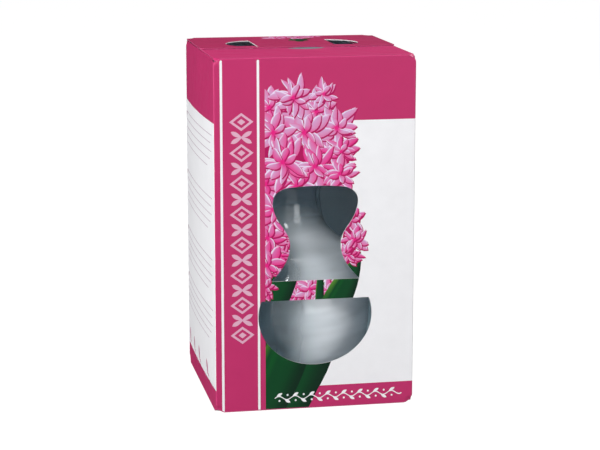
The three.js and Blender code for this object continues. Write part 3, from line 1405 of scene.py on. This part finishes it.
def bulb_skin():
    material, tree = new_material("dry papery bulb skin")
    place = add_node(tree, "ShaderNodeTexCoord")
    centred = add_node(
        tree,
        "ShaderNodeMapping",
        values={"Location": (-glass_x * mm, 0, 0)},
        links={"Vector": place.outputs["Object"]},
    )
    veins = add_node(
        tree,
        "ShaderNodeMapping",
        values={"Scale": (1 / (2.5 * mm), 1 / (2.5 * mm), 1 / (60 * mm))},
        links={"Vector": centred.outputs["Vector"]},
    )
    streaks = add_node(
        tree,
        "ShaderNodeTexNoise",
        values={"Scale": 1, "Detail": 4, "Roughness": 0.65},
        links={"Vector": veins.outputs["Vector"]},
    )
    ramp = add_node(tree, "ShaderNodeValToRGB", links={"Fac": streaks.outputs["Fac"]})
    ramp.color_ramp.elements[0].position = 0.35
    ramp.color_ramp.elements[0].color = (*linear("#4c2433"), 1)
    ramp.color_ramp.elements[1].position = 0.65
    ramp.color_ramp.elements[1].color = (*linear("#9c6a5a"), 1)
    bump = add_node(
        tree,
        "ShaderNodeBump",
        values={"Strength": 0.6, "Distance": 0.4 * mm},
        links={"Height": streaks.outputs["Fac"]},
    )
    surface = add_node(
        tree,
        "ShaderNodeBsdfPrincipled",
        values={"Roughness": 0.6},
        links={"Base Color": ramp.outputs["Color"], "Normal": bump.outputs["Normal"]},
    )
    add_node(tree, "ShaderNodeOutputMaterial", links={"Surface": surface.outputs["BSDF"]})
    return material


# %% Make the bulb
bulb_foot = box_mm("bulb")[0].z
bulb_turns = ((10.5, 0.8), (20, 7), (25.8, 16), (28, 25), (23, 37), (10, 49), (4.8, 55), (3.2, 59))
bulb_sides, bulb_radius = 108, 28
bulb_ridges, ridge_height = 9, 0.5
fine_ridges, fine_share = 27, 0.004
bulb_profile = [(4, 0), (8, 0), *catmull_rom(bulb_turns, 4), (1.4, 59.8)]
bulb = draw_rings("bulb_with_skins", bulb_profile, (glass_x, 0, bulb_foot), bulb_sides)
for vertex in bulb.data.vertices:
    x, y = vertex.co.x - glass_x * mm, vertex.co.y
    around = math.atan2(y, x)
    ridge = ridge_height / bulb_radius * math.cos(bulb_ridges * around)
    grow = 1 + ridge + fine_share * math.cos(fine_ridges * around + 1)
    vertex.co.x, vertex.co.y = glass_x * mm + x * grow, y * grow
select_only(bulb)
bpy.ops.object.shade_smooth()
dress(bulb, bulb_skin())
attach(bulb, "carton")
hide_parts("bulb")
print("bulb has", len(bulb.data.polygons), "faces")

# %% [markdown]
# The stage is a sheet of white paper on a table in a white room. A large soft box stands at the front
# right, a small one high at the front left, one at the left, one overhead and one behind. A mirrored
# room darkens towards the back, as it would with dark cards there, which keeps the glare off the lid
# and the sides, and the paper behind the carton stays out of the reflections.

# %% Floor, surround and light
key_place, key_size, key_watts = (0.59, -0.95, 0.12), (0.77, 0.86), 5.1
high_place, high_size, high_watts = (-0.36, -0.88, 0.74), (0.4, 0.4), 5
top_place, top_size, top_watts = (0.15, -0.15, 1.15), (0.8, 0.8), 5
fill_place, fill_size, fill_watts = (-0.86, -0.28, 0.30), (0.5, 0.5), 6.2
back_place, back_size, back_watts = (0.95, 0.8, 0.75), (0.7, 0.7), 9
room_light = 0.22
glare_front, glare_back = 0.6, 0.04
paper_glow = 0.7
light_aim = Vector((0, 0, 0.1))

deselect()
bpy.ops.mesh.primitive_plane_add(size=6, location=(0, 0, 0))
floor = settle(bpy.context.object, "floor")
floor_paper, tree = new_material("white background paper")
paper = add_node(
    tree,
    "ShaderNodeBsdfPrincipled",
    values={"Base Color": (0.3, 0.3, 0.3, 1), "Roughness": 0.9, "Specular IOR Level": 0},
)
glow = add_node(tree, "ShaderNodeEmission", values={"Color": (1, 1, 1, 1), "Strength": 1.4})
unseen = add_node(tree, "ShaderNodeBsdfTransparent")
path = add_node(tree, "ShaderNodeLightPath")
place = add_node(tree, "ShaderNodeNewGeometry")
axes = add_node(tree, "ShaderNodeSeparateXYZ", links={"Vector": place.outputs["Position"]})
behind = add_node(
    tree,
    "ShaderNodeMapRange",
    values={"From Min": -0.15, "From Max": 0.0, "To Min": 0.0, "To Max": 1.0},
    links={"Value": axes.outputs["Y"]},
)
hidden = add_node(
    tree,
    "ShaderNodeMath",
    {"operation": "MULTIPLY"},
    links={0: path.outputs["Is Glossy Ray"], 1: behind.outputs["Result"]},
)
lit = add_node(
    tree,
    "ShaderNodeMath",
    {"operation": "MULTIPLY"},
    values={1: paper_glow},
    links={0: path.outputs["Is Camera Ray"]},
)
bright_paper = add_node(
    tree,
    "ShaderNodeMixShader",
    links={0: lit.outputs["Value"], 1: paper.outputs["BSDF"], 2: glow.outputs["Emission"]},
)
paper_or_card = add_node(
    tree,
    "ShaderNodeMixShader",
    links={0: hidden.outputs["Value"], 1: bright_paper.outputs["Shader"], 2: unseen.outputs["BSDF"]},
)
add_node(tree, "ShaderNodeOutputMaterial", links={"Surface": paper_or_card.outputs["Shader"]})
dress(floor, floor_paper)

world = bpy.data.worlds.new("white room")
world.use_nodes = True
tree = world.node_tree
tree.nodes.clear()
direction = add_node(tree, "ShaderNodeTexCoord")
axes = add_node(tree, "ShaderNodeSeparateXYZ", links={"Vector": direction.outputs["Generated"]})
cards = add_node(
    tree,
    "ShaderNodeMapRange",
    values={"From Min": -0.6, "From Max": 0.4, "To Min": glare_front, "To Max": glare_back},
    links={"Value": axes.outputs["Y"]},
)
path = add_node(tree, "ShaderNodeLightPath")
room = add_node(
    tree,
    "ShaderNodeMix",
    {"data_type": "FLOAT"},
    links={0: path.outputs["Is Camera Ray"]},
)
room.inputs[2].default_value = room_light
room.inputs[3].default_value = 1.0
seen = add_node(
    tree,
    "ShaderNodeMix",
    {"data_type": "FLOAT"},
    links={0: path.outputs["Is Glossy Ray"], 2: room.outputs[0], 3: cards.outputs["Result"]},
)
background = add_node(tree, "ShaderNodeBackground", links={"Strength": seen.outputs[0]})
background.inputs["Color"].default_value = (1, 1, 1, 1)
add_node(tree, "ShaderNodeOutputWorld", links={"Surface": background.outputs["Background"]})
bpy.context.scene.world = world
bpy.context.scene.view_settings.view_transform = "Standard"


def soft_box(name, place, size, watts):
    """A soft box, size wide and high, that faces the middle of the carton."""
    data = bpy.data.lights.new(name, "AREA")
    data.shape = "RECTANGLE"
    data.size, data.size_y = size
    data.energy = watts
    light = bpy.data.objects.new(name, data)
    bpy.context.scene.collection.objects.link(light)
    light.location = place
    aim = light_aim - Vector(place)
    light.rotation_euler = aim.to_track_quat("-Z", "Y").to_euler()


soft_box("key soft box", key_place, key_size, key_watts)
soft_box("fill soft box", fill_place, fill_size, fill_watts)
soft_box("high soft box", high_place, high_size, high_watts)
soft_box("top soft box", top_place, top_size, top_watts)
soft_box("back soft box", back_place, back_size, back_watts)
print("lights and floor are in place")
